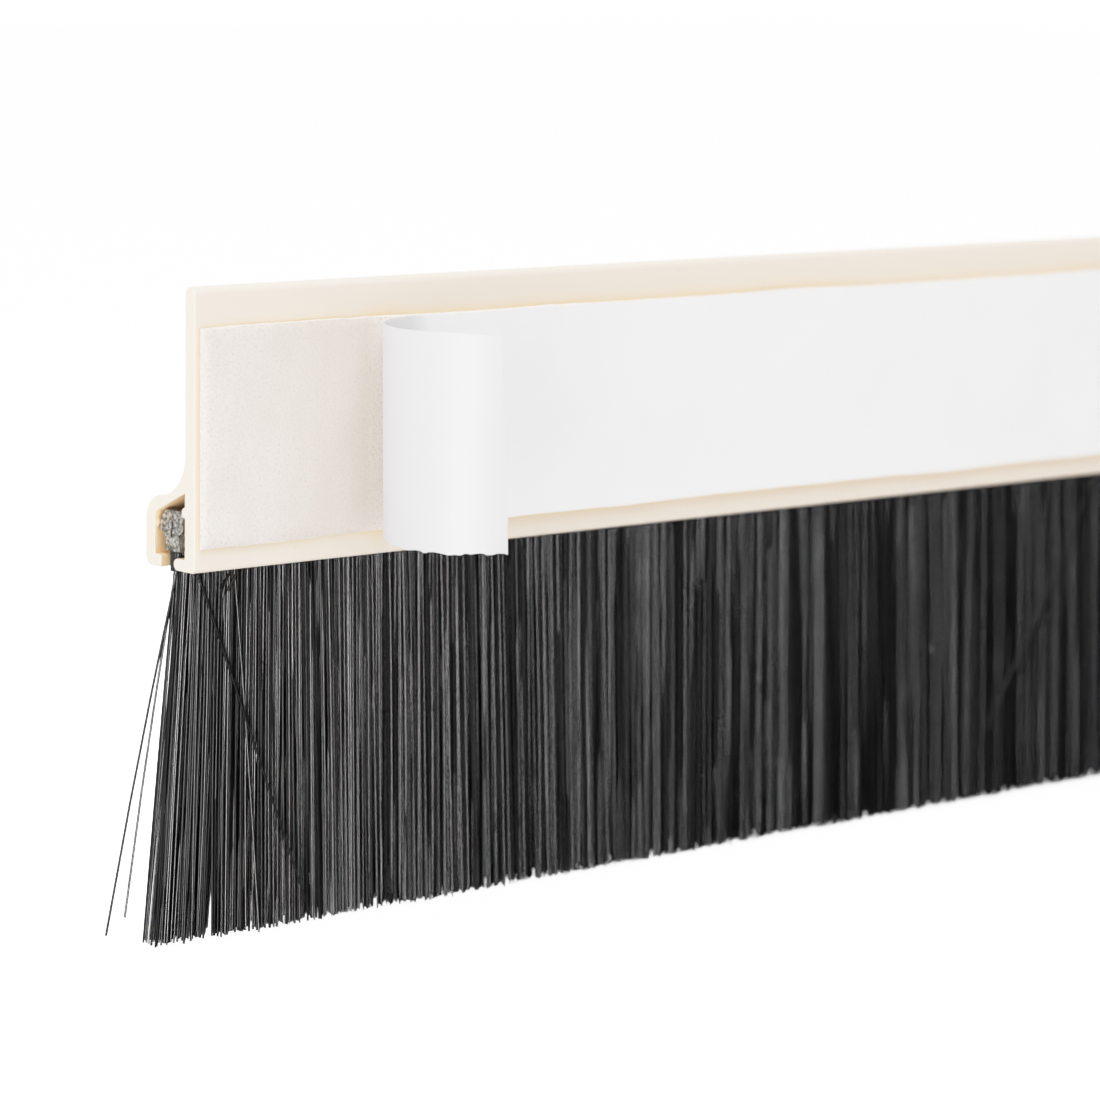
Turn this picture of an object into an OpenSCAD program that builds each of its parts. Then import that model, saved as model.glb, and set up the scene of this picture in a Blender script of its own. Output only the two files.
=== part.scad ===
// Stick-on brush door sweep: an extruded carrier with mounting tape on its plate, and a strip brush in its hook.
// Origin: on the plane where the tape meets the door, at the middle of the bare tape at the -X end.
// +X runs along the strip, -Y points at the door and +Z is up.

/* [Strip] */
// Length of the carrier, cut to the width of one door leaf
strip_l = 762; // [200:1:1200]

/* [Carrier] */
// Height of the flat plate
plate_h = 26; // [25:0.5:40]
// Thickness of the flat plate
plate_t = 1.5; // [1.3:0.1:1.6]
// How far the hook's outer wall stands behind the plate
hook_out = 6; // [5.9:0.1:6.5]
// Thickness of the hook's outer wall
hook_wall = 1.35; // [1.1:0.05:1.4]
// Radius of the hook's outer shoulder
shoulder_r = 2.5; // [2.2:0.1:2.8]
// Height of the shoulder's centre above the plate's foot
shoulder_v = 4.2; // [4:0.1:4.5]
// Radius of the hollow curve that runs from the plate's back to the shoulder
fillet_r = 4; // [3:0.1:5]
// Slope of the cavity's roof, falling away from the plate
roof_slope = 25; // [20:1:26]
// Height at which the cavity's roof meets the plate
roof_v = 7.2; // [7.1:0.1:7.4]
// Height of the inward lip at the bottom of the hook
lip_h = 1.2; // [1:0.05:1.3]
// How far the lip reaches in from the hook's wall
lip_out = 1; // [0.8:0.05:1.1]
// How far the foot of the plate reaches back to meet the lip
nub_out = 1.7; // [1.5:0.05:1.8]
// Height of the small rib that keeps the brush off the plate
rib_v = 5.4; // [5.2:0.1:5.6]

/* [Mounting tape] */
// Width of the tape
tape_w = 20; // [15:0.5:20]
// Thickness of the tape where it is bare
tape_t = 0.7; // [0.6:0.05:1.5]
// Thickness of the adhesive coat on each side of the foam
coat_t = 0.1; // [0.05:0.01:0.15]
// Distance from the end of the carrier to the tape
tape_inset = 0.6; // [0:0.1:3]
// Distance from the foot of the plate to the tape
tape_v = 2.3; // [2:0.1:4]
// Length of bare tape that has sprung back after the liner left it
bare_l = 18; // [10:1:18]
// How far the bare tape has sprung back
rebound = 0.05; // [0.03:0.01:0.08]

/* [Release liner] */
// Thickness of the liner
liner_t = 0.1; // [0.06:0.01:0.15]
// Length of liner that has been peeled from the end of the tape
peeled_l = 25.8; // [25:0.1:30]
// Radius of the curl where the liner leaves the tape
curl_r = 11; // [9:0.1:12]
// How far the liner turns at that radius
curl_turn = 60; // [50:1:70]
// Radius of the curl towards the free edge
end_r = 8; // [7:0.1:12]

/* [Strip brush] */
// Thickness of the channel's sheet
sheet_t = 0.5; // [0.4:0.05:0.5]
// Width of the slot between the channel's flanges
slot_w = 1.3; // [1.2:0.05:1.4]
// Width of the channel's folded head
head_w = 3.2; // [3:0.1:3.3]
// Height of the channel's folded head
head_h = 2.1; // [2:0.05:2.1]
// Height of the channel's top above the plate's foot
head_top_v = 5.3; // [5.2:0.05:5.3]
// Radius of the wire that the bristles are folded over
wire_r = 0.35; // [0.25:0.05:0.35]
// Distance from each end of the carrier to the brush
brush_inset = 0.8; // [0:0.1:5]
// How far the bristles reach below the plate's foot
bristle_drop = 34.6; // [10:0.1:60]
// Thickness of the bristles at their tips
tip_w = 4.4; // [2:0.1:6]

/* [Hidden] */
$fn = 96;
arc_steps = 12;

// Sections are drawn as [u, v]: u is the distance behind the plate's front face, v the height above its foot.
end_x = -tape_inset - bare_l / 2;
foot_z = -tape_v - tape_w / 2;

// Carrier
hook_u = plate_t + hook_out;
cavity_u = hook_u - hook_wall;
lip_u = cavity_u - lip_out;
lip_tip_r = 0.3;
heel_r = 0.9;
nub_r = 0.55;
foot_r = 0.4;
rib_r = 0.5;
corner_r = 0.8;
shoulder = [hook_u - shoulder_r, shoulder_v];
fillet_u = plate_t + fillet_r;
blend_angle = acos((fillet_u - shoulder[0]) / (fillet_r + shoulder_r));
fillet_v = shoulder_v + (fillet_r + shoulder_r) * sin(blend_angle);
corner_u = cavity_u - corner_r;
corner_v = roof_v - (corner_u - plate_t) * tan(roof_slope) - corner_r / cos(roof_slope);
corner = [corner_u, corner_v];

// Tape and liner
foam_t = tape_t - rebound - 2 * coat_t;
tape_l = strip_l - 2 * tape_inset;
peel_x = end_x + tape_inset + peeled_l;
flap_gap = 0.3;
curl_start = flap_gap / curl_r * 180 / PI;
curl_centre = [peel_x, rebound - liner_t - curl_r];
end_turn = (peeled_l / curl_r * 180 / PI - curl_turn) * curl_r / end_r;
end_centre = curl_centre + (curl_r - end_r) * [-sin(curl_turn), cos(curl_turn)];

// Brush
brush_l = strip_l - 2 * brush_inset;
brush_u = (plate_t + nub_out + lip_u) / 2;
body_w = slot_w + 2 * sheet_t;
body_v = lip_h + 0.35;
head_r = 0.6;
head_in_r = 0.2;
head_in_w = head_w - 2 * sheet_t;
head_in_h = head_h - 2 * sheet_t;
wire_v = head_top_v - head_h / 2;
pack_gap = 0.05;
wire_gap = 0.02;
pack_w = slot_w - 2 * pack_gap;
pack_v = -0.35;
pivot_v = -1.2;

// Carries a section along the strip: it starts the given distance from the carrier's end.
module along(inset, length) {
    translate([end_x + inset, tape_t, foot_z])
        rotate([90, 0, 90])
            linear_extrude(length)
                children();
}

// A rectangle with four round corners, centred on the middle of its top edge
module soft_box(width, height, radius) {
    translate([-width / 2 + radius, -height])
        square([width - 2 * radius, height]);
    translate([-width / 2, -height + radius])
        square([width, height - 2 * radius]);
    for (side = [-1, 1], level = [-radius, radius - height])
        translate([side * (width / 2 - radius), level])
            circle(radius);
}

// Points on an arc, from one angle to another
function arc(centre, radius, from, to) = [
    for (i = [0 : arc_steps])
        let (angle = from + (to - from) * i / arc_steps)
            centre + radius * [cos(angle), sin(angle)]
];

// The section's outline runs over the plate's top, down its front, round its foot, up inside the hook and out
// along the roof, round the lip and the heel, and back over the shoulder.
module carrier_section() {
    polygon(concat(
        arc([plate_t / 2, plate_h - plate_t / 2], plate_t / 2, 0, 180),
        arc([foot_r, foot_r], foot_r, 180, 270),
        arc([plate_t + nub_out - nub_r, nub_r], nub_r, -90, 90),
        [[plate_t, 2 * nub_r]],
        arc([plate_t, rib_v], rib_r, -90, 90),
        [[plate_t, roof_v]],
        arc(corner, corner_r, 90 - roof_slope, 0),
        [[cavity_u, lip_h]],
        arc([lip_u + lip_tip_r, lip_h - lip_tip_r], lip_tip_r, 90, 180),
        arc([lip_u + lip_tip_r, lip_tip_r], lip_tip_r, 180, 270),
        arc([hook_u - heel_r, heel_r], heel_r, -90, 0),
        arc(shoulder, shoulder_r, 0, blend_angle),
        arc([fillet_u, fillet_v], fillet_r, blend_angle + 180, 180)
    ));
}

module carrier_profile() {
    color("ivory")
        along(0, strip_l)
            carrier_section();
}

module tape_adhesive_back() {
    color("gainsboro")
        along(tape_inset, tape_l)
            translate([-coat_t, tape_v])
                square([coat_t, tape_w]);
}

module tape_foam_core() {
    color("white")
        along(tape_inset, tape_l)
            translate([-coat_t - foam_t, tape_v])
                square([foam_t, tape_w]);
}

// The coat stands a little proud where the liner is off and the foam below it has sprung back.
module tape_adhesive_front() {
    color("whitesmoke") {
        along(tape_inset, tape_l)
            translate([-tape_t + rebound, tape_v])
                square([coat_t, tape_w]);
        along(tape_inset, bare_l)
            translate([-tape_t, tape_v])
                square([rebound + coat_t / 2, tape_w]);
    }
}

module release_liner() {
    color("aliceblue")
        along(tape_inset + peeled_l, tape_l - peeled_l)
            translate([-tape_t + rebound - liner_t, tape_v])
                square([liner_t, tape_w]);
}

// One face of the curled liner: an arc where it leaves the tape, then another towards the free edge
function curl(offset) = concat(
    arc(curl_centre, curl_r + offset, 90 + curl_start, 90 + curl_turn),
    arc(end_centre, end_r + offset, 90 + curl_turn, 90 + curl_turn + end_turn)
);

module liner_flap() {
    outer = curl(liner_t);
    color("lavender")
        translate([0, 0, -tape_w / 2])
            linear_extrude(tape_w)
                polygon(concat(curl(0), [for (i = [len(outer) - 1 : -1 : 0]) outer[i]]));
}

// One folded sheet: a wide head round the wire, and two flanges that grip the bristles
module brush_channel() {
    color("darkgray")
        along(brush_inset, brush_l)
            translate([brush_u, 0])
                difference() {
                    union() {
                        translate([0, head_top_v])
                            soft_box(head_w, head_h, head_r);
                        translate([-body_w / 2, body_v])
                            square([body_w, wire_v - body_v]);
                    }
                    translate([0, head_top_v - sheet_t])
                        soft_box(head_in_w, head_in_h, head_in_r);
                    translate([-slot_w / 2, 0])
                        square([slot_w, wire_v]);
                }
}

module core_wire() {
    color("dimgray")
        translate([end_x + brush_inset, tape_t + brush_u, foot_z + wire_v])
            rotate([0, 90, 0])
                cylinder(r = wire_r, h = brush_l);
}

// The folded roots of the bristles: round the wire, down between the flanges and out through the mouth
module bristle_pack() {
    color("dimgray")
        along(brush_inset, brush_l)
            translate([brush_u, 0])
                difference() {
                    union() {
                        translate([0, head_top_v - sheet_t - pack_gap])
                            soft_box(head_in_w - 2 * pack_gap, head_in_h - 2 * pack_gap, head_in_r);
                        translate([-pack_w / 2, pack_v])
                            square([pack_w, wire_v - pack_v]);
                    }
                    translate([0, wire_v])
                        circle(wire_r + wire_gap);
                }
}

// The free bristles: round at the top, where they bend, and spreading towards their tips
module bristle_curtain() {
    color("black")
        along(brush_inset, brush_l)
            translate([brush_u, 0])
                union() {
                    translate([0, pivot_v])
                        circle(pack_w / 2);
                    polygon([
                        [-pack_w / 2, pivot_v], [-tip_w / 2, -bristle_drop],
                        [tip_w / 2, -bristle_drop], [pack_w / 2, pivot_v]
                    ]);
                }
}

carrier_profile();
tape_adhesive_back();
tape_foam_core();
tape_adhesive_front();
release_liner();
liner_flap();
brush_channel();
core_wire();
bristle_pack();
bristle_curtain();
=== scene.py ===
import math

import bpy
import numpy as np
from mathutils import Matrix, Vector


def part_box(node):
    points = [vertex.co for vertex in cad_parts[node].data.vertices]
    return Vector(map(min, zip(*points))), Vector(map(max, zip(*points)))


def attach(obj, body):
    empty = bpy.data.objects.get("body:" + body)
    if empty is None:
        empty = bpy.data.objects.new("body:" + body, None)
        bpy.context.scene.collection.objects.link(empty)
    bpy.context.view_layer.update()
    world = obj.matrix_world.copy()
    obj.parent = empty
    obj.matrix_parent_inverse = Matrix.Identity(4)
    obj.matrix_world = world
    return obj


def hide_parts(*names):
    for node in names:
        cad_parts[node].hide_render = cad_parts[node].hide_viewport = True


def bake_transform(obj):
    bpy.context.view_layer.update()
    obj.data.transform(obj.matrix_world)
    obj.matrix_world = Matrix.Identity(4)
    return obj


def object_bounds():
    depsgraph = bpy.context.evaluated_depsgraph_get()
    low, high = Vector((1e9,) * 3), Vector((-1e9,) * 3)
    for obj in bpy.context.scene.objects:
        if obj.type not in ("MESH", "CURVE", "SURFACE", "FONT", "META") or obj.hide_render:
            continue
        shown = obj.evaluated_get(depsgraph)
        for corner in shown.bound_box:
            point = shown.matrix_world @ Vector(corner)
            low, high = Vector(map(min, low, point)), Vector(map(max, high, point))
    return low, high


# The looks of a stick-on brush door sweep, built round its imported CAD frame.
# Metres throughout: +X runs along the strip, -Y points at the door and +Z is up.
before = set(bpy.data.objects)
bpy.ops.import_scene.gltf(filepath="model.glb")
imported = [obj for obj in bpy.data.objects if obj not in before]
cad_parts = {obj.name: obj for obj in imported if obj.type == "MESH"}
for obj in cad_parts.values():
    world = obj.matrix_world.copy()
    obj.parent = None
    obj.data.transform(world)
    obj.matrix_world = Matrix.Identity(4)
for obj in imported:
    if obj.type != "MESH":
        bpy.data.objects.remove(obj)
cad_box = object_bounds()

MM = 0.001

# ---------------------------------------------------------------- places, from the frame

carrier_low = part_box("carrier_profile")[0]
foam_low, foam_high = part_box("tape_foam_core")
coat_low, coat_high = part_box("tape_adhesive_front")
liner_low, liner_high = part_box("release_liner")
channel_low, channel_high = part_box("brush_channel")
wire_low, wire_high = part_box("core_wire")
curtain_low, curtain_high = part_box("bristle_curtain")

FOOT_Z = carrier_low.z
BRUSH_Y = (channel_low.y + channel_high.y) / 2
TAPE_MIDDLE_Z = (foam_low.z + foam_high.z) / 2
TAPE_WIDTH = foam_high.z - foam_low.z
WIRE_Z = (wire_high.z + wire_low.z) / 2

# ---------------------------------------------------------------- sizes that only the looks need

# Mounting tape
BARE_LENGTH = 18 * MM
PEEL_X = liner_low.x
PAD_ROUNDING = 0.22 * MM
PAD_ROUNDING_REACH = 0.45 * MM
FOAM_BULGE = 0.05 * MM
COAT_INSET = 0.06 * MM

# Peeled liner: how tightly it curls where it leaves the tape and at its free edge
PEEL_CURL_R = 11.6 * MM
EDGE_CURL_R = 7.7 * MM
PEELED_LENGTH = PEEL_X - foam_low.x + 0.06 * MM
LINER_THICKNESS = liner_high.y - liner_low.y
CURL_CONE = -2.8
CURL_DROP = 0.1 * MM
CURL_STEP = 0.15 * MM

# Channel of the strip brush, and how far the shears' damage at its ends reaches along it and stands out of it
SHEET = 0.42 * MM
SLOT = 1.3 * MM
HEAD_HEIGHT = 2.1 * MM
HEAD_R = 0.39 * MM
CRUSH_REACH = 0.3 * MM
BURR = 0.14 * MM
LUG_BURR = 0.16 * MM

# Bristles
STRAND_R = 0.125 * MM
STRANDS_PER_MM = 26
STRAND_SIDES = 4
BUNDLES = 8
SLOT_HALF_FILL = 0.5 * MM
TIP_HALF_SPREAD = 2.0 * MM
LONGEST_OVER = 0.3 * MM
SHORTEST_UNDER = 3 * MM
SHORT_SHARE = 0.015
# Depths below the carrier's foot at which a bristle's path has a point
LEVELS = np.array([-2.4, -0.4, 2.5, 6, 12, 22, 34.6]) * MM
# The outermost bristles fan out: how far at each end of the strip, and how fast that fades along it
NEAR_FAN = math.radians(2.8)
NEAR_FAN_REACH = 3.0 * MM
FAR_FAN = math.radians(4.0)
FAR_FAN_REACH = 2.2 * MM
# Where the bunch at the cut end parts from the rest, and half the gap at its tips
PARTING_X = curtain_low.x + 4.1 * MM
PARTING = 0.5 * MM
# A step of this share of a turn spreads rows evenly without a pattern.
GOLDEN_STEP = 0.618034

# Carrier
EDGE_ROUNDING = 0.09 * MM

# View of the peeled end, from the door's side
VIEW_AZIMUTH = math.radians(-41.13)
VIEW_ELEVATION = math.radians(8.54)
VIEW_ROLL = math.radians(0.85)
VIEW_DISTANCE = 407.8 * MM
VIEW_LENS = 137.7
FOCUS_BEFORE_AIM = 20 * MM
F_STOP = 30
VIEW_AIM = Vector((carrier_low.x + 42.6 * MM, carrier_low.y, FOOT_Z - 1.5 * MM))
FLOOR_GAP = 0.4 * MM
# Radiance that shows as full white
TONE_WHITE = 3.0

# How many random values a wander or a grain has before it repeats
WANDER_KNOTS = 4096
GRAIN_KNOTS = 512


# ---------------------------------------------------------------- mesh helpers

def mesh_object(name, points, quads, sharp_angle=40):
    """A closed mesh of quads with its faces turned outward, smooth except at edges above the sharp angle."""
    corners = points[quads] - points.mean(axis=0)
    crossed = np.cross(corners[:, 1] - corners[:, 0], corners[:, 2] - corners[:, 0])
    crossed += np.cross(corners[:, 2] - corners[:, 0], corners[:, 3] - corners[:, 0])
    if np.sum(crossed * corners[:, 0]) < 0:
        quads = quads[:, ::-1]
    mesh = bpy.data.meshes.new(name)
    mesh.vertices.add(len(points))
    mesh.vertices.foreach_set("co", points.astype(np.float32).ravel())
    mesh.loops.add(quads.size)
    mesh.loops.foreach_set("vertex_index", quads.astype(np.int32).ravel())
    mesh.polygons.add(len(quads))
    mesh.polygons.foreach_set("loop_start", np.arange(0, quads.size, 4, dtype=np.int32))
    mesh.update(calc_edges=True)
    mesh.shade_smooth()
    mesh.set_sharp_from_angle(angle=math.radians(sharp_angle))
    piece = bpy.data.objects.new(name, mesh)
    bpy.context.scene.collection.objects.link(piece)
    return piece


def skin(name, block, sharp_angle=40):
    """A closed skin round a block of points, whose array has the shape (a, b, c, 3)."""
    index = np.arange(block[..., 0].size).reshape(block.shape[:3])
    faces = []
    for axis in range(3):
        layers = np.moveaxis(index, axis, 0)
        for end, outward in ((0, axis == 1), (-1, axis != 1)):
            layer = layers[end]
            corners = [layer[:-1, :-1], layer[1:, :-1], layer[1:, 1:], layer[:-1, 1:]]
            quads = np.stack(corners, axis=-1).reshape(-1, 4)
            faces.append(quads if outward else quads[:, ::-1])
    used, quads = np.unique(np.concatenate(faces), return_inverse=True)
    return mesh_object(name, block.reshape(-1, 3)[used], quads.reshape(-1, 4), sharp_angle)


def unit(vectors):
    return vectors / np.linalg.norm(vectors, axis=-1, keepdims=True)


def strands(name, paths, radius, tips, seed):
    """Filaments along paths of the shape (strands, points, 3). tips scales the radius point by point."""
    count, rings = paths.shape[:2]
    rng = np.random.default_rng(seed)
    along = unit(np.gradient(paths, axis=1))
    across = unit(np.cross(along, (1.0, 0.0, 0.0)))
    other = np.cross(along, across)
    start = rng.uniform(0, 2 * math.pi, (count, 1, 1))
    turn = (start + np.arange(STRAND_SIDES) * 2 * math.pi / STRAND_SIDES)[..., None]
    size = (radius[:, None] * tips)[..., None, None]
    points = paths[:, :, None] + size * (np.cos(turn) * across[:, :, None] + np.sin(turn) * other[:, :, None])
    index = np.arange(count * rings * STRAND_SIDES).reshape(count, rings, STRAND_SIDES)
    after = np.roll(index, -1, axis=2)
    walls = np.stack([index[:, :-1], after[:, :-1], after[:, 1:], index[:, 1:]], axis=-1)
    caps = np.concatenate([index[:, 0, ::-1], index[:, -1]])
    piece = mesh_object(name, points.reshape(-1, 3), np.concatenate([walls.reshape(-1, 4), caps]), 180)
    edges = np.empty(len(piece.data.edges) * 2, dtype=np.int32)
    piece.data.edges.foreach_get("vertices", edges)
    ring = edges.reshape(-1, 2) // STRAND_SIDES % rings
    round_an_end = (ring[:, 0] == ring[:, 1]) & (ring[:, 0] % (rings - 1) == 0)
    piece.data.edges.foreach_set("use_edge_sharp", round_an_end)
    tone = piece.data.attributes.new("strand_tone", "FLOAT", "POINT")
    tones = np.repeat(rng.uniform(0, 1, count), rings * STRAND_SIDES)
    tone.data.foreach_set("value", tones.astype(np.float32))
    return piece


def ease(values):
    """Goes smoothly from 0 to 1 as the values do."""
    values = np.clip(values, 0, 1)
    return values * values * (3 - 2 * values)


def wander(places, step, size, seed):
    """A smooth random value for each place, up to size either way, that changes over about one step."""
    knots = np.random.default_rng(seed).uniform(-size, size, WANDER_KNOTS)
    at = np.asarray(places) / step
    before = np.floor(at).astype(int)
    share = ease(at - before)
    return knots[before % WANDER_KNOTS] * (1 - share) + knots[(before + 1) % WANDER_KNOTS] * share


def grain(x, z, step, size, seed):
    """The same over a surface."""
    knots = np.random.default_rng(seed).uniform(-size, size, (GRAIN_KNOTS, GRAIN_KNOTS))
    column, row = np.floor(x / step).astype(int), np.floor(z / step).astype(int)
    right, up = ease(x / step - column), ease(z / step - row)
    beside, above = (column + 1) % GRAIN_KNOTS, (row + 1) % GRAIN_KNOTS
    column, row = column % GRAIN_KNOTS, row % GRAIN_KNOTS
    low = knots[column, row] * (1 - right) + knots[beside, row] * right
    high = knots[column, above] * (1 - right) + knots[beside, above] * right
    return low * (1 - up) + high * up


def stations(start, stop, fine_step, fine_length, coarse_step):
    """Places from start to stop, close together over the first length and further apart after it."""
    fine = np.arange(start, start + fine_length, fine_step)
    coarse = np.arange(start + fine_length, stop - coarse_step / 2, coarse_step)
    return np.concatenate([fine, coarse, [stop]])


def arc(centre, radius, start, stop, steps=8):
    """Points on an arc, from one angle to another."""
    angles = np.radians(np.linspace(start, stop, steps + 1))
    return np.array(centre) + radius * np.stack([np.cos(angles), np.sin(angles)], axis=-1)


# ---------------------------------------------------------------- material helpers

def srgb(red, green, blue):
    """A colour in the renderer's linear units, from display values of 0 to 255."""
    return tuple((value / 255 / 12.92) if value < 11 else ((value / 255 + 0.055) / 1.055) ** 2.4
                 for value in (red, green, blue)) + (1.0,)


class Finish:
    """A material under construction. Each method adds a node and gives back its output."""

    def __init__(self, name, **values):
        self.material = bpy.data.materials.new(name)
        self.material.use_nodes = True
        self.tree = self.material.node_tree
        self.shader = self.tree.nodes["Principled BSDF"]
        self.place = self.tree.nodes.new("ShaderNodeTexCoord").outputs["Object"]
        self.set(**values)

    def join(self, socket, value):
        if isinstance(value, bpy.types.NodeSocket):
            self.tree.links.new(value, socket)
        else:
            socket.default_value = value

    def set(self, **values):
        for name, value in values.items():
            self.join(self.shader.inputs[name.replace("_", " ")], value)

    def add(self, kind, inputs, **settings):
        node = self.tree.nodes.new("ShaderNode" + kind)
        for name, value in settings.items():
            setattr(node, name, value)
        for name, value in inputs.items():
            self.join(node.inputs[name], value)
        return node

    def stretched(self, stretch):
        return self.add("Mapping", {"Vector": self.place, "Scale": stretch}).outputs["Vector"]

    def noise(self, size, stretch=(1, 1, 1), detail=3.0, roughness=0.5):
        """Soft noise whose features are about the given size."""
        inputs = {
            "Vector": self.stretched(stretch), "Scale": 1 / size,
            "Detail": detail, "Roughness": roughness,
        }
        return self.add("TexNoise", inputs).outputs["Fac"]

    def cells(self, size, stretch=(1, 1, 1), output="Distance", **settings):
        inputs = {"Vector": self.stretched(stretch), "Scale": 1 / size}
        return self.add("TexVoronoi", inputs, **settings).outputs[output]

    def spread(self, value, low, high, to_low=0.0, to_high=1.0):
        """Maps low..high to to_low..to_high, and holds it there outside."""
        inputs = {"Value": value, "From Min": low, "From Max": high, "To Min": to_low, "To Max": to_high}
        return self.add("MapRange", inputs).outputs["Result"]

    def maths(self, operation, first, second):
        node = self.add("Math", {}, operation=operation)
        self.join(node.inputs[0], first)
        self.join(node.inputs[1], second)
        return node.outputs["Value"]

    def mix(self, factor, first, second, blend_type="MIX"):
        node = self.add("Mix", {}, data_type="RGBA", blend_type=blend_type)
        self.join(node.inputs["Factor"], factor)
        self.join(node.inputs[6], first)
        self.join(node.inputs[7], second)
        return node.outputs[2]

    def along(self, axis):
        return self.add("SeparateXYZ", {"Vector": self.place}).outputs[axis]

    def facing(self, axis):
        """One part of the surface's true direction."""
        normal = self.add("NewGeometry", {}).outputs["True Normal"]
        return self.add("SeparateXYZ", {"Vector": normal}).outputs[axis]

    def attribute(self, name):
        return self.add("Attribute", {}, attribute_name=name).outputs["Fac"]

    def bumps(self, *layers):
        """Bump from pairs of a height and how tall it stands."""
        normal = None
        for height, size in layers:
            node = self.add("Bump", {"Height": height, "Distance": size})
            if normal is not None:
                self.tree.links.new(normal, node.inputs["Normal"])
            normal = node.outputs["Normal"]
        self.tree.links.new(normal, self.shader.inputs["Normal"])

    def let_through(self, share, colour):
        """Lets a share of the light through, as thin paper does."""
        through = self.add("BsdfTranslucent", {"Color": colour}).outputs[0]
        both = self.add("MixShader", {"Fac": share})
        self.tree.links.new(self.shader.outputs[0], both.inputs[1])
        self.tree.links.new(through, both.inputs[2])
        self.tree.links.new(both.outputs[0], self.tree.nodes["Material Output"].inputs["Surface"])


def dress(piece, finish):
    """Gives a new piece its material."""
    piece.data.materials.append(finish)
    return piece


def repaint(node, finish):
    """Gives a CAD node a better material on its object, and leaves its mesh alone."""
    for material_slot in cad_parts[node].material_slots:
        material_slot.link = "OBJECT"
        material_slot.material = finish


# ---------------------------------------------------------------- materials

def rigid_pvc():
    finish = Finish("rigid_pvc", Subsurface_Weight=0.12)
    finish.set(Subsurface_Radius=(1.0, 0.72, 0.45), Subsurface_Scale=1.2 * MM)
    cut = finish.spread(finish.facing("X"), -0.9, -0.6, 1.0, 0.0)
    tint = finish.mix(finish.noise(14 * MM, (0.3, 1, 1)), srgb(236, 219, 203), srgb(239, 223, 208))
    speck = finish.cells(2.6 * MM)
    dust = finish.maths("MULTIPLY", finish.spread(speck, 0.016, 0.028, 1.0, 0.0), 0.65)
    tint = finish.mix(cut, tint, srgb(241, 224, 205))
    # Light that reaches a corner has already bounced off ivory plastic.
    open_to_light = finish.add("AmbientOcclusion", {"Distance": 3 * MM}, samples=6).outputs["AO"]
    tint = finish.mix(finish.spread(open_to_light, 0.4, 0.9), srgb(240, 205, 156), tint)
    finish.set(Base_Color=finish.mix(dust, tint, srgb(120, 96, 70)))
    polish = finish.spread(finish.noise(3 * MM, (0.1, 1, 1)), 0.3, 0.7, 0.34, 0.46)
    finish.set(Roughness=finish.maths("ADD", polish, finish.maths("MULTIPLY", cut, 0.25)))
    drawn = finish.noise(0.9 * MM, (0.008, 1, 1), detail=2)
    sawn = finish.maths("MULTIPLY", finish.noise(0.18 * MM, (1, 1, 0.25)), cut)
    finish.bumps((drawn, 0.006 * MM), (finish.noise(0.35 * MM), 0.003 * MM), (sawn, 0.09 * MM))
    return finish.material


def bare_adhesive():
    finish = Finish("bare_adhesive", Specular_IOR_Level=0.35)
    pores = finish.noise(0.24 * MM, detail=4, roughness=0.62)
    blotches = finish.noise(3.5 * MM, (1, 1, 0.6))
    warm = finish.mix(finish.spread(blotches, 0.35, 0.65), srgb(224, 214, 207), srgb(230, 221, 215))
    # Painted shade: the open tape darkens from a few millimetres in, towards the curled liner. Painted light:
    # it turns lighter just by the peel line, where light bounces off the liner.
    along = finish.along("X")
    painted_curl_shade = finish.spread(along, coat_low.x + 3 * MM, coat_low.x + 14 * MM, 0.0, 0.5)
    painted_liner_bounce = finish.spread(along, coat_low.x + 18.5 * MM, coat_low.x + 22 * MM)
    warm = finish.mix(painted_liner_bounce, finish.mix(painted_curl_shade, warm, srgb(209, 196, 184)), srgb(246, 237, 228))
    pink = finish.mix(finish.spread(pores, 0.5, 0.3), warm, srgb(207, 193, 183))
    finish.set(Base_Color=pink)
    finish.set(Roughness=finish.spread(pores, 0.3, 0.7, 0.62, 0.44))
    finish.bumps((blotches, 0.03 * MM), (pores, 0.05 * MM), (finish.cells(0.3 * MM), 0.012 * MM))
    return finish.material


def foam():
    finish = Finish("foam", Specular_IOR_Level=0.2)
    pores = finish.cells(0.13 * MM, output="Distance")
    # Painted shade: the foam's pores are tan in their hollows.
    painted_pore_shade = finish.spread(pores, 0.12, 0.42, 1.0, 0.0)
    finish.set(Base_Color=finish.mix(painted_pore_shade, srgb(246, 243, 238), srgb(214, 190, 150)))
    finish.set(Roughness=finish.spread(finish.noise(0.4 * MM), 0.3, 0.7, 0.8, 0.95))
    finish.bumps((pores, 0.08 * MM), (finish.noise(0.5 * MM), 0.04 * MM))
    return finish.material


def coated_paper():
    finish = Finish("coated_paper", Specular_IOR_Level=0.35)
    fibres = finish.noise(0.9 * MM, (0.5, 1, 1.2), detail=5, roughness=0.65)
    clouds = finish.noise(9 * MM)
    inside = finish.spread(finish.facing("Y"), -0.2, 0.2)
    tint = finish.mix(finish.spread(clouds, 0.35, 0.65), srgb(245, 244, 244), srgb(242, 241, 242))
    tint = finish.mix(finish.maths("MULTIPLY", inside, 0.5), tint, srgb(247, 247, 250))
    loose = finish.spread(finish.along("X"), PEEL_X - 3 * MM, PEEL_X, 1.0, 0.0)
    # Painted shade: the peeled part of the liner is a little darker than the part still stuck down.
    finish.set(Base_Color=finish.mix(loose, tint, srgb(232, 232, 235)))
    finish.set(Roughness=finish.spread(fibres, 0.3, 0.7, 0.46, 0.6))
    finish.bumps((clouds, 0.02 * MM), (fibres, 0.006 * MM))
    finish.let_through(finish.maths("MULTIPLY", loose, 0.3), srgb(250, 248, 246))
    return finish.material


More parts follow.
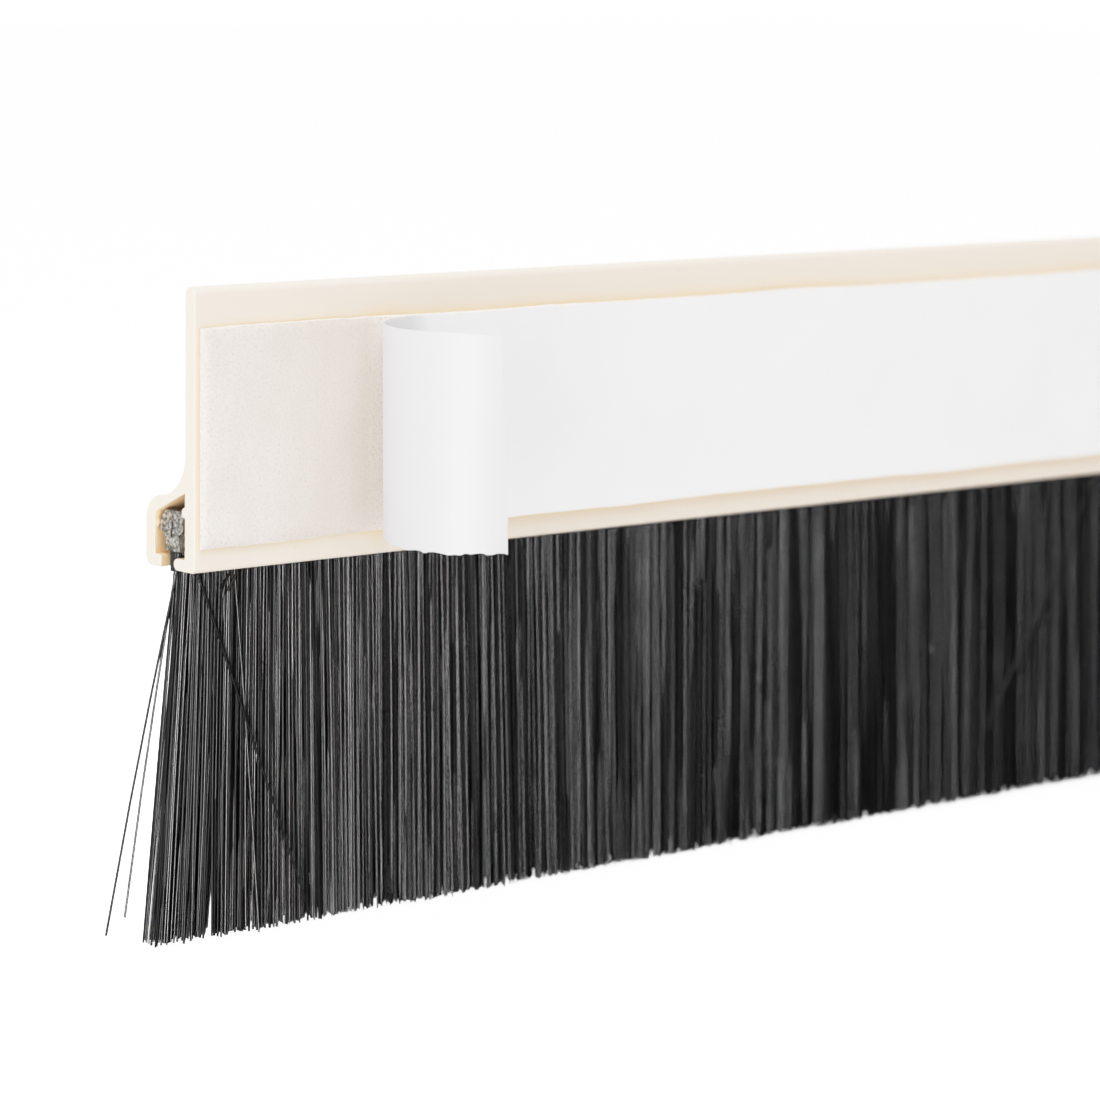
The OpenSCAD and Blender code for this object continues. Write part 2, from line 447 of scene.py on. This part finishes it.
def galvanised():
    finish = Finish("galvanised", Metallic=1.0)
    spangle = finish.cells(0.7 * MM, (0.5, 1, 1), output="Color")
    patch = finish.add("SeparateColor", {"Color": spangle}).outputs["Red"]
    grime = finish.noise(0.35 * MM, detail=5, roughness=0.7)
    cut = finish.spread(finish.facing("X"), -0.9, -0.5, 1.0, 0.0)
    zinc = finish.mix(patch, srgb(118, 117, 115), srgb(176, 175, 170))
    zinc = finish.mix(finish.spread(grime, 0.45, 0.7), zinc, srgb(88, 84, 78))
    sheared = finish.mix(finish.spread(grime, 0.4, 0.6), srgb(204, 203, 197), srgb(96, 92, 86))
    finish.set(Base_Color=finish.mix(cut, zinc, sheared))
    finish.set(Roughness=finish.spread(patch, 0.0, 1.0, 0.3, 0.5))
    scratches = finish.noise(0.08 * MM, (0.05, 1, 1))
    finish.bumps((scratches, 0.01 * MM), (grime, 0.05 * MM))
    return finish.material


def drawn_wire():
    finish = Finish("drawn_wire", Metallic=1.0)
    streaks = finish.noise(0.12 * MM, (0.03, 1, 1), detail=4)
    steel = finish.mix(finish.spread(streaks, 0.3, 0.7), srgb(168, 166, 162), srgb(120, 117, 112))
    finish.set(Base_Color=steel)
    finish.set(Roughness=finish.spread(streaks, 0.3, 0.7, 0.25, 0.45))
    finish.bumps((streaks, 0.01 * MM))
    return finish.material


def black_nylon():
    finish = Finish("black_nylon")
    tone = finish.attribute("strand_tone")
    scuffs = finish.noise(0.5 * MM, (1, 1, 0.12), detail=4)
    shade = finish.mix(tone, srgb(8, 7, 8), srgb(18, 17, 18))
    dusty = finish.spread(finish.noise(0.8 * MM, detail=6, roughness=0.8), 0.72, 0.8)
    finish.set(Base_Color=finish.mix(finish.maths("MULTIPLY", dusty, 0.25), shade, srgb(120, 118, 114)))
    polish = finish.spread(scuffs, 0.3, 0.7, 0.14, 0.2)
    finish.set(Roughness=finish.maths("ADD", polish, finish.maths("MULTIPLY", tone, 0.06)))
    finish.set(Specular_IOR_Level=finish.spread(tone, 0.2, 0.9, 0.12, 1.0))
    finish.bumps((scuffs, 0.004 * MM))
    return finish.material


def packed_roots():
    finish = Finish("packed_roots", Roughness=0.55)
    fibres = finish.cells(0.2 * MM, (1, 1, 0.02))
    # Painted shade: the gaps between the packed fibres are darker than the fibres.
    finish.set(Base_Color=finish.mix(finish.spread(fibres, 0.2, 0.6), srgb(34, 33, 34), srgb(8, 8, 9)))
    finish.set(Roughness=finish.spread(fibres, 0.2, 0.7, 0.4, 0.8))
    finish.bumps((fibres, -0.08 * MM))
    return finish.material


def studio_floor():
    finish = Finish("studio_floor", Emission_Color=(1, 1, 1, 1))
    seen = finish.add("LightPath", {}).outputs["Is Camera Ray"]
    finish.set(Emission_Strength=finish.spread(seen, 0, 1, 0.0, 1.8))
    mottle = finish.noise(30 * MM)
    finish.set(Base_Color=finish.mix(mottle, srgb(238, 238, 237), srgb(242, 242, 242)))
    finish.set(Roughness=finish.spread(mottle, 0.3, 0.7, 0.75, 0.85))
    return finish.material


# ---------------------------------------------------------------- mounting tape

def tape_edge(x, seed):
    """How far a slit edge of the tape and liner strays from straight, with a tiny tear here and there."""
    tears = np.clip(wander(x, 0.45 * MM, 1, seed + 2) - 0.86, 0, 1) * 1.4 * MM
    return wander(x, 11 * MM, 0.11 * MM, seed) + wander(x, 1.7 * MM, 0.035 * MM, seed + 1) - tears


def tape_grid(x, rows):
    """Positions over the tape's face: a row of points along each height, inside the wandering edges."""
    share = np.linspace(0, 1, rows)
    low = foam_low.z - tape_edge(x, 31)
    high = foam_high.z + tape_edge(x, 37)
    z = low[:, None] + (high - low)[:, None] * share
    return np.repeat(x[:, None], rows, axis=1), z


def bare_share(x):
    """1 over the bare tape, going to 0 at the peel line."""
    return 1 - ease((x - foam_low.x - BARE_LENGTH) / (PEEL_X - foam_low.x - BARE_LENGTH))


def edge_side(z):
    """1 along the tape's top edge, -1 along its bottom edge and 0 between them."""
    from_middle = z - TAPE_MIDDLE_Z
    return np.sign(from_middle) * (np.abs(from_middle) > 0.49 * TAPE_WIDTH)


def pad_drop(x, z):
    """How far the bare pad's face falls away towards its free edges."""
    edge = np.minimum(np.minimum(foam_high.z - z, z - foam_low.z), x - foam_low.x)
    return PAD_ROUNDING * np.exp(-np.clip(edge, 0, None) / PAD_ROUNDING_REACH) * bare_share(x)


def tape_core():
    x = stations(foam_low.x, foam_high.x, 0.25 * MM, 2 * MM, 1.5 * MM)
    x, z = tape_grid(x, 90)
    layers = []
    for layer, y in enumerate(np.linspace(foam_high.y, foam_low.y, 5)):
        depth = (foam_high.y - y) / (foam_high.y - foam_low.y)
        near_end = np.exp(-(x - foam_low.x) / (0.3 * MM))
        ragged = wander(z, 0.3 * MM, 0.09 * MM, 40 + layer) * near_end
        bulge = np.sin(math.pi * depth) * FOAM_BULGE
        fuzz = grain(x, z, 0.4 * MM, 0.03 * MM, 50 + layer)
        start = x + ragged - bulge * near_end
        side = z + edge_side(z) * (bulge + fuzz)
        layers.append(np.stack([start, y + depth * pad_drop(x, z), side], axis=-1))
    core = skin("foam_core", np.stack(layers, axis=2))
    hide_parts("tape_foam_core")
    return core


def tape_face():
    x = stations(coat_low.x, coat_high.x, 0.2 * MM, PEEL_X + 1 * MM - coat_low.x, 1.5 * MM)
    x, z = tape_grid(x, 96)
    bare = bare_share(x)
    front = liner_high.y + 0.004 * MM + (coat_low.y - liner_high.y) * bare
    dimples = grain(x, z, 0.28 * MM, 0.010 * MM, 61) + grain(x, z, 2.6 * MM, 0.015 * MM, 62)
    start = x + 0.05 * MM * np.exp(-(x - coat_low.x) / (0.2 * MM))
    front = front + dimples * bare + pad_drop(x, z)
    front = np.stack([start, front, z - edge_side(z) * COAT_INSET], axis=-1)
    back = np.stack([x, foam_low.y + pad_drop(x, z), z], axis=-1)
    face = skin("adhesive_face", np.stack([back, front], axis=2))
    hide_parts("tape_adhesive_front")
    return face


# ---------------------------------------------------------------- release liner

def peeled_sheet(distance, z):
    """Place and turn of the liner, by distance past the peel line. It curls tighter as it goes."""
    start_bend, edge_bend = 1 / PEEL_CURL_R, 1 / EDGE_CURL_R
    bend = start_bend + (edge_bend - start_bend) * distance / PEELED_LENGTH
    bend = bend[:, None] * (1 + CURL_CONE * (z - TAPE_MIDDLE_Z))
    step = np.diff(distance, prepend=0.0)[:, None]
    turn = np.cumsum(bend * step, axis=0)
    middle = turn - bend * step / 2
    x = PEEL_X - np.cumsum(np.cos(middle) * step, axis=0)
    y = liner_high.y - np.cumsum(np.sin(middle) * step, axis=0)
    return x, y, turn


def release_liner():
    stuck = stations(-liner_high.x, -PEEL_X, 1.5 * MM, 730 * MM, 0.5 * MM)[:-1]
    peeled = np.arange(0, PEELED_LENGTH, CURL_STEP)
    share = np.concatenate([[0, 0.01], np.linspace(0.03, 0.97, 22), [0.99, 1]])
    middle_z = TAPE_MIDDLE_Z + (share - 0.5) * TAPE_WIDTH
    curl_x, curl_y, turn = peeled_sheet(peeled, middle_z)
    ones = np.ones_like(share)
    x = np.concatenate([-stuck[:, None] * ones, curl_x])
    y = np.concatenate([np.full((len(stuck), len(share)), liner_high.y), curl_y])
    turn = np.concatenate([np.zeros((len(stuck), len(share))), turn])
    flat_x = np.concatenate([-stuck, PEEL_X - peeled])
    loose = ease((PEEL_X - flat_x) / (6 * MM))
    low = foam_low.z - tape_edge(flat_x, 31) - wander(flat_x, 0.5 * MM, 0.12 * MM, 71) * loose
    high = foam_high.z + tape_edge(flat_x, 37)
    z = low[:, None] + (high - low)[:, None] * share - (CURL_DROP * loose)[:, None]
    torn = wander(share * TAPE_WIDTH, 0.7 * MM, 0.06 * MM, 73)
    torn += wander(share * TAPE_WIDTH, 5 * MM, 0.1 * MM, 74)
    x[-1] += torn * np.cos(turn[-1])
    y[-1] += torn * np.sin(turn[-1])
    ripple = wander(flat_x, 40 * MM, 0.01 * MM, 75)[:, None] * ones
    inner = np.stack([x, y, z], axis=-1)
    away = np.stack([np.sin(turn), -np.cos(turn), np.zeros_like(turn)], axis=-1)
    outer = inner + away * (LINER_THICKNESS + ripple)[..., None]
    liner = skin("release_liner_sheet", np.stack([inner, outer], axis=2), 50)
    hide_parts("release_liner", "liner_flap")
    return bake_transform(liner)


# ---------------------------------------------------------------- strip brush

def channel_path():
    """The folded sheet's middle line across the brush, from one flange's foot to the other's."""
    half = SHEET / 2
    flange, side = SLOT / 2 + half, (channel_high.y - channel_low.y) / 2 - half
    top, low = channel_high.z - half, channel_high.z - HEAD_HEIGHT + half
    neck_r = (side - flange) / 2
    right = np.concatenate([
        [(flange, channel_low.z), (flange, (channel_low.z + low) / 2)],
        arc((flange + neck_r, low - neck_r), neck_r, 180, 90),
        arc((side - neck_r, low + neck_r), neck_r, -90, 0),
        arc((side - HEAD_R, top - HEAD_R), HEAD_R, 0, 90),
        [(side / 3, top)],
    ])
    return np.concatenate([right, right[::-1] * (-1, 1)])


def channel():
    """The folded channel. At each cut the shears smear the sheet inward until it closes on the bristles."""
    path = channel_path()
    along = unit(np.gradient(path, axis=0))
    out = np.stack([along[:, 1], -along[:, 0]], axis=-1)
    near = np.array([0, 0.03, 0.08, 0.15, 0.25, 0.4, 0.6, 1, 1.8, 3, 6]) * MM
    middle = np.arange(channel_low.x + 20 * MM, channel_high.x - 15 * MM, 20 * MM)
    x = np.concatenate([channel_low.x + near, middle, (channel_high.x - near)[::-1]])[:, None]
    side = np.where(x < (channel_low.x + channel_high.x) / 2, -1, 1)
    crush = np.exp(-np.minimum(x - channel_low.x, channel_high.x - x) / CRUSH_REACH)
    travel = np.cumsum(np.linalg.norm(np.diff(path, axis=0, prepend=path[:1]), axis=1))
    corner = (channel_high.y - channel_low.y) / 2, channel_high.z - 0.75 * HEAD_HEIGHT
    lug = np.exp(-np.sum((path - corner) ** 2, axis=1) / (0.5 * MM) ** 2)
    neck = np.exp(-(path[:, 1] - channel_high.z + HEAD_HEIGHT) ** 2 / (0.35 * MM) ** 2)
    layers = []
    for layer, depth in enumerate(np.linspace(0, 1, 7)):
        points = path + out * SHEET * (0.5 - depth)
        core = np.stack([0 * travel, np.minimum(points[:, 1], WIRE_Z)], axis=-1)
        dents = wander(travel, 0.5 * MM, 0.06 * MM, 81)[:, None]
        smear = (core - points) * 1.02 * depth + out * dents * (1 - depth)
        smear += np.array([0.55, 0.1]) * MM * lug[:, None] * (1 - depth)
        torn = neck + lug
        burr = BURR + LUG_BURR * torn
        burr += np.abs(wander(travel, 0.3 * MM, 0.13 * MM, 83 + layer)) * (0.4 + 0.6 * torn)
        closed = points + smear * crush[..., None]
        layers.append(np.stack([x + side * burr * crush, BRUSH_Y + closed[..., 0], closed[..., 1]], axis=-1))
    piece = skin("folded_channel", np.stack(layers, axis=2), 50)
    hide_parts("brush_channel")
    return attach(piece, "brush")


def bristle_paths(root_x, rng):
    """Paths of the free bristles from their roots' places along the strip."""
    count = len(root_x)
    s = root_x - curtain_low.x
    row = (np.arange(count) * GOLDEN_STEP + rng.uniform(0, 0.15, count)) % 1 * 2 - 1
    # The bristles are folded over the wire, so more of them hang on the two faces than between.
    row = np.sign(row) * np.abs(row) ** 0.7
    depth = np.clip(LEVELS, 0, None) / LEVELS[-1]
    trim = wander(s, 6 * MM, 0.12 * MM, 101) + rng.normal(0, 0.09 * MM, count)
    trim -= np.where(rng.uniform(0, 1, count) < SHORT_SHARE, rng.uniform(0.3, 1.1, count) * MM, 0)
    length = 1 + np.clip(trim, -SHORTEST_UNDER, LONGEST_OVER) / LEVELS[-1]
    fall = depth * length[:, None]
    lean = np.radians(-0.8 + wander(s, 22 * MM, 1.5, 102) + wander(s, 5 * MM, 0.4, 103))
    lean += np.radians(wander(s + 3 * MM * row, 1.1 * MM, 0.15, 104)) + rng.normal(0, np.radians(0.22), count)
    lean -= NEAR_FAN * np.exp(-s / NEAR_FAN_REACH)
    lean += FAR_FAN * np.exp(-(curtain_high.x - root_x) / FAR_FAN_REACH)
    bow = rng.normal(0, 0.1 * MM, count)
    x = root_x[:, None] + np.tan(lean)[:, None] * LEVELS[-1] * fall + bow[:, None] * np.sin(math.pi * fall)
    spread = row * TIP_HALF_SPREAD * (1 - 0.5 * np.exp(-s / (3 * MM))) + rng.normal(0, 0.22 * MM, count)
    y = (row * SLOT_HALF_FILL)[:, None] * (1 - fall) + spread[:, None] * fall
    y -= 0.45 * MM * np.exp(-s / (4 * MM))[:, None] * (1 - fall)
    # The bunch at the cut end parts from the rest near its tips, along the line of sight.
    sideways = x - y * math.tan(-VIEW_AZIMUTH) - PARTING_X
    gap = PARTING * ease((fall - 0.35) / 0.65)
    x += np.sign(sideways) * (np.sqrt(sideways ** 2 + gap ** 2) - np.abs(sideways))
    z = np.repeat(FOOT_Z - LEVELS[None], count, axis=0)
    z[:, -1] = FOOT_Z - LEVELS[-1] * length
    return np.stack([x, BRUSH_Y + y, z], axis=-1)


def bend_with_brush(piece):
    """Bakes the bristles' placement into their mesh."""
    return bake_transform(piece)


def bristles():
    pieces = []
    tips = np.ones(len(LEVELS))
    tips[-1] = 0.9
    edges = np.linspace(curtain_low.x, curtain_high.x, BUNDLES + 1)
    for number, (start, stop) in enumerate(zip(edges[:-1], edges[1:])):
        rng = np.random.default_rng(200 + number)
        count = int((stop - start) / MM * STRANDS_PER_MM)
        root_x = start + (np.arange(count) + rng.uniform(0, 0.6, count)) / count * (stop - start)
        radius = STRAND_R * rng.uniform(0.9, 1.08, count)
        piece = strands(f"bristles_{number + 1}", bristle_paths(root_x, rng), radius, tips, 300 + number)
        pieces.append(bend_with_brush(piece))
    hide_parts("bristle_curtain")
    return pieces


# Hairs that left the mass, as (along, behind the plate's face, above its foot) in mm where they start and end
STRAY_HAIRS = [
    ((1.2, 3.5, 2.0), (-7.9, 2.6, -32.8)),
    ((1.0, 3.6, 2.0), (-5.9, 2.5, -31.4)),
    ((2.6, 3.0, -0.5), (14.2, 0.7, -34.0)),
    ((6.8, 3.2, 0.5), (8.8, 1.7, -34.8)),
    ((125.4, 3.0, 0.5), (106.2, 1.0, -26.8)),
    ((7.2, 3.3, 0.4), (5.2, 2.7, -3.0)),
    ((7.6, 3.2, 0.4), (5.7, 2.6, -2.4)),
    ((6.8, 3.3, 0.4), (5.0, 2.8, -2.2)),
]


def stray_hairs():
    share = np.clip(LEVELS - LEVELS[0], 0, None) / (LEVELS[-1] - LEVELS[0])
    paths = []
    for number, (start, end) in enumerate(STRAY_HAIRS):
        start, end = np.array(start) * MM, np.array(end) * MM
        path = start + (end - start) * share[:, None]
        path[:, 0] += np.sin(math.pi * share) * wander(number, 1, 0.35 * MM, 111)
        paths.append(path + (carrier_low.x, carrier_low.y, FOOT_Z))
    paths = np.array(paths)
    hairs = strands("stray_hairs", paths, np.full(len(paths), STRAND_R), np.ones(len(share)), 112)
    return bend_with_brush(hairs)


# ---------------------------------------------------------------- carrier

def round_carrier_edges():
    """Takes the sharpness off the CAD extrusion's corners without touching its mesh."""
    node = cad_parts["carrier_profile"]
    node.data.polygons.foreach_set("use_smooth", [True] * len(node.data.polygons))
    weld = node.modifiers.new("weld", "WELD")
    weld.merge_threshold = 0.001 * MM
    flat = node.modifiers.new("flat", "DECIMATE")
    flat.decimate_type = "DISSOLVE"
    flat.angle_limit = math.radians(0.5)
    bevel = node.modifiers.new("bevel", "BEVEL")
    bevel.width = EDGE_ROUNDING
    bevel.segments = 3
    bevel.limit_method = "ANGLE"
    bevel.angle_limit = math.radians(30)
    bevel.harden_normals = False
    node.modifiers.new("shading", "WEIGHTED_NORMAL")


# ---------------------------------------------------------------- studio

def studio():
    bpy.ops.mesh.primitive_plane_add(size=6, location=(VIEW_AIM.x, 0, cad_box[0].z - FLOOR_GAP))
    floor = bpy.context.object
    floor.name = "studio_floor"
    floor.data.materials.append(studio_floor())
    # Highlights and softboxes reach the object as if it hung free of the floor.
    floor.visible_glossy = False
    floor.visible_shadow = False

    backdrop()
    # Photographic lights. The glint only draws the bright line down each bristle.
    key = softbox("key", azimuth=-64, elevation=4, width=0.4, height=0.66, radiance=3.6, distance=0.75)
    softbox("top", azimuth=-15, elevation=72, width=0.9, height=0.9, radiance=3.7, distance=0.9)
    key.visible_glossy = False
    glint = softbox("glint", azimuth=-56, elevation=-8, width=0.024, height=0.3, radiance=36.0, distance=0.12)
    glint.visible_diffuse = False
    glint.visible_transmission = False
    tone_curve()


def backdrop():
    """The room: white to the camera, soft on rough surfaces, and dark in front for shiny ones to mirror."""
    world = bpy.data.worlds.new("studio")
    world.use_nodes = True
    nodes, links = world.node_tree.nodes, world.node_tree.links
    direction = nodes.new("ShaderNodeSeparateXYZ")
    links.new(nodes.new("ShaderNodeTexCoord").outputs["Generated"], direction.inputs["Vector"])

    def background(in_front, behind):
        """White light, of one strength on the door's side and another behind the object."""
        strength = nodes.new("ShaderNodeMapRange")
        for name, value in (("From Min", 0.1), ("From Max", 0.6), ("To Min", in_front), ("To Max", behind)):
            strength.inputs[name].default_value = value
        links.new(direction.outputs["Y"], strength.inputs["Value"])
        shader = nodes.new("ShaderNodeBackground")
        shader.inputs["Color"].default_value = (1, 1, 1, 1)
        links.new(strength.outputs["Result"], shader.inputs["Strength"])
        return shader

    shader = background(0.5, 0.95)
    ray = nodes.new("ShaderNodeLightPath").outputs
    for kind, seen in (("Is Glossy Ray", background(0.06, 1.2)), ("Is Camera Ray", background(3.5, 3.5))):
        either = nodes.new("ShaderNodeMixShader")
        links.new(ray[kind], either.inputs["Fac"])
        links.new(shader.outputs[0], either.inputs[1])
        links.new(seen.outputs[0], either.inputs[2])
        shader = either
    links.new(shader.outputs[0], nodes["World Output"].inputs["Surface"])
    bpy.context.scene.world = world


def tone_curve():
    """Brings bright tones together as they near white, as a camera does."""
    view = bpy.context.scene.view_settings
    view.view_transform = "Standard"
    view.use_curve_mapping = True
    view.curve_mapping.white_level = (TONE_WHITE, TONE_WHITE, TONE_WHITE)
    points = view.curve_mapping.curves[3].points
    for bright, shown in ((0.25, 0.25), (0.5, 0.5), (0.75, 0.7), (0.95, 0.805), (1.25, 0.905), (1.6, 0.95)):
        points.new(bright / TONE_WHITE, shown)
    view.curve_mapping.update()


def towards(azimuth, elevation):
    """Direction from the object towards a place round it: azimuth 0 is on the door's side."""
    flat = math.cos(elevation)
    return Vector((math.sin(azimuth) * flat, -math.cos(azimuth) * flat, math.sin(elevation)))


def softbox(name, azimuth, elevation, width, height, radiance, distance):
    """A rectangular light that faces the peeled end, unseen by the camera."""
    light = bpy.data.lights.new(name, "AREA")
    light.shape = "RECTANGLE"
    light.size = width
    light.size_y = height
    light.energy = radiance * math.pi * width * height
    lamp = bpy.data.objects.new(name, light)
    direction = towards(math.radians(azimuth), math.radians(elevation))
    lamp.location = VIEW_AIM + direction * distance
    lamp.rotation_euler = direction.to_track_quat("Z", "Y").to_euler()
    lamp.visible_camera = False
    bpy.context.scene.collection.objects.link(lamp)
    return lamp


def camera():
    lens = bpy.data.cameras.new("camera")
    lens.lens = VIEW_LENS
    lens.sensor_width = 36
    lens.clip_start = 10 * MM
    lens.clip_end = 20
    back = towards(VIEW_AZIMUTH, VIEW_ELEVATION)
    right = Vector((math.cos(VIEW_AZIMUTH), math.sin(VIEW_AZIMUTH), 0))
    up = back.cross(right)
    turned = Matrix((right, up, back)).transposed() @ Matrix.Rotation(VIEW_ROLL, 3, "Z")
    eye = bpy.data.objects.new("camera", lens)
    eye.matrix_world = Matrix.Translation(VIEW_AIM + back * VIEW_DISTANCE) @ turned.to_4x4()
    focus = bpy.data.objects.new("focus", None)
    focus.location = VIEW_AIM + back * FOCUS_BEFORE_AIM
    bpy.context.scene.collection.objects.link(focus)
    lens.dof.use_dof = True
    lens.dof.focus_object = focus
    lens.dof.aperture_fstop = F_STOP
    bpy.context.scene.collection.objects.link(eye)
    bpy.context.scene.camera = eye


# ---------------------------------------------------------------- the whole object

round_carrier_edges()
repaint("carrier_profile", rigid_pvc())
repaint("tape_adhesive_back", bare_adhesive())
repaint("core_wire", drawn_wire())
repaint("bristle_pack", packed_roots())

dress(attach(tape_core(), "carrier"), foam())
dress(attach(tape_face(), "carrier"), bare_adhesive())
dress(release_liner(), coated_paper())
dress(channel(), galvanised())

nylon = black_nylon()
for bundle in bristles():
    dress(bundle, nylon)
dress(stray_hairs(), nylon)

studio()
camera()
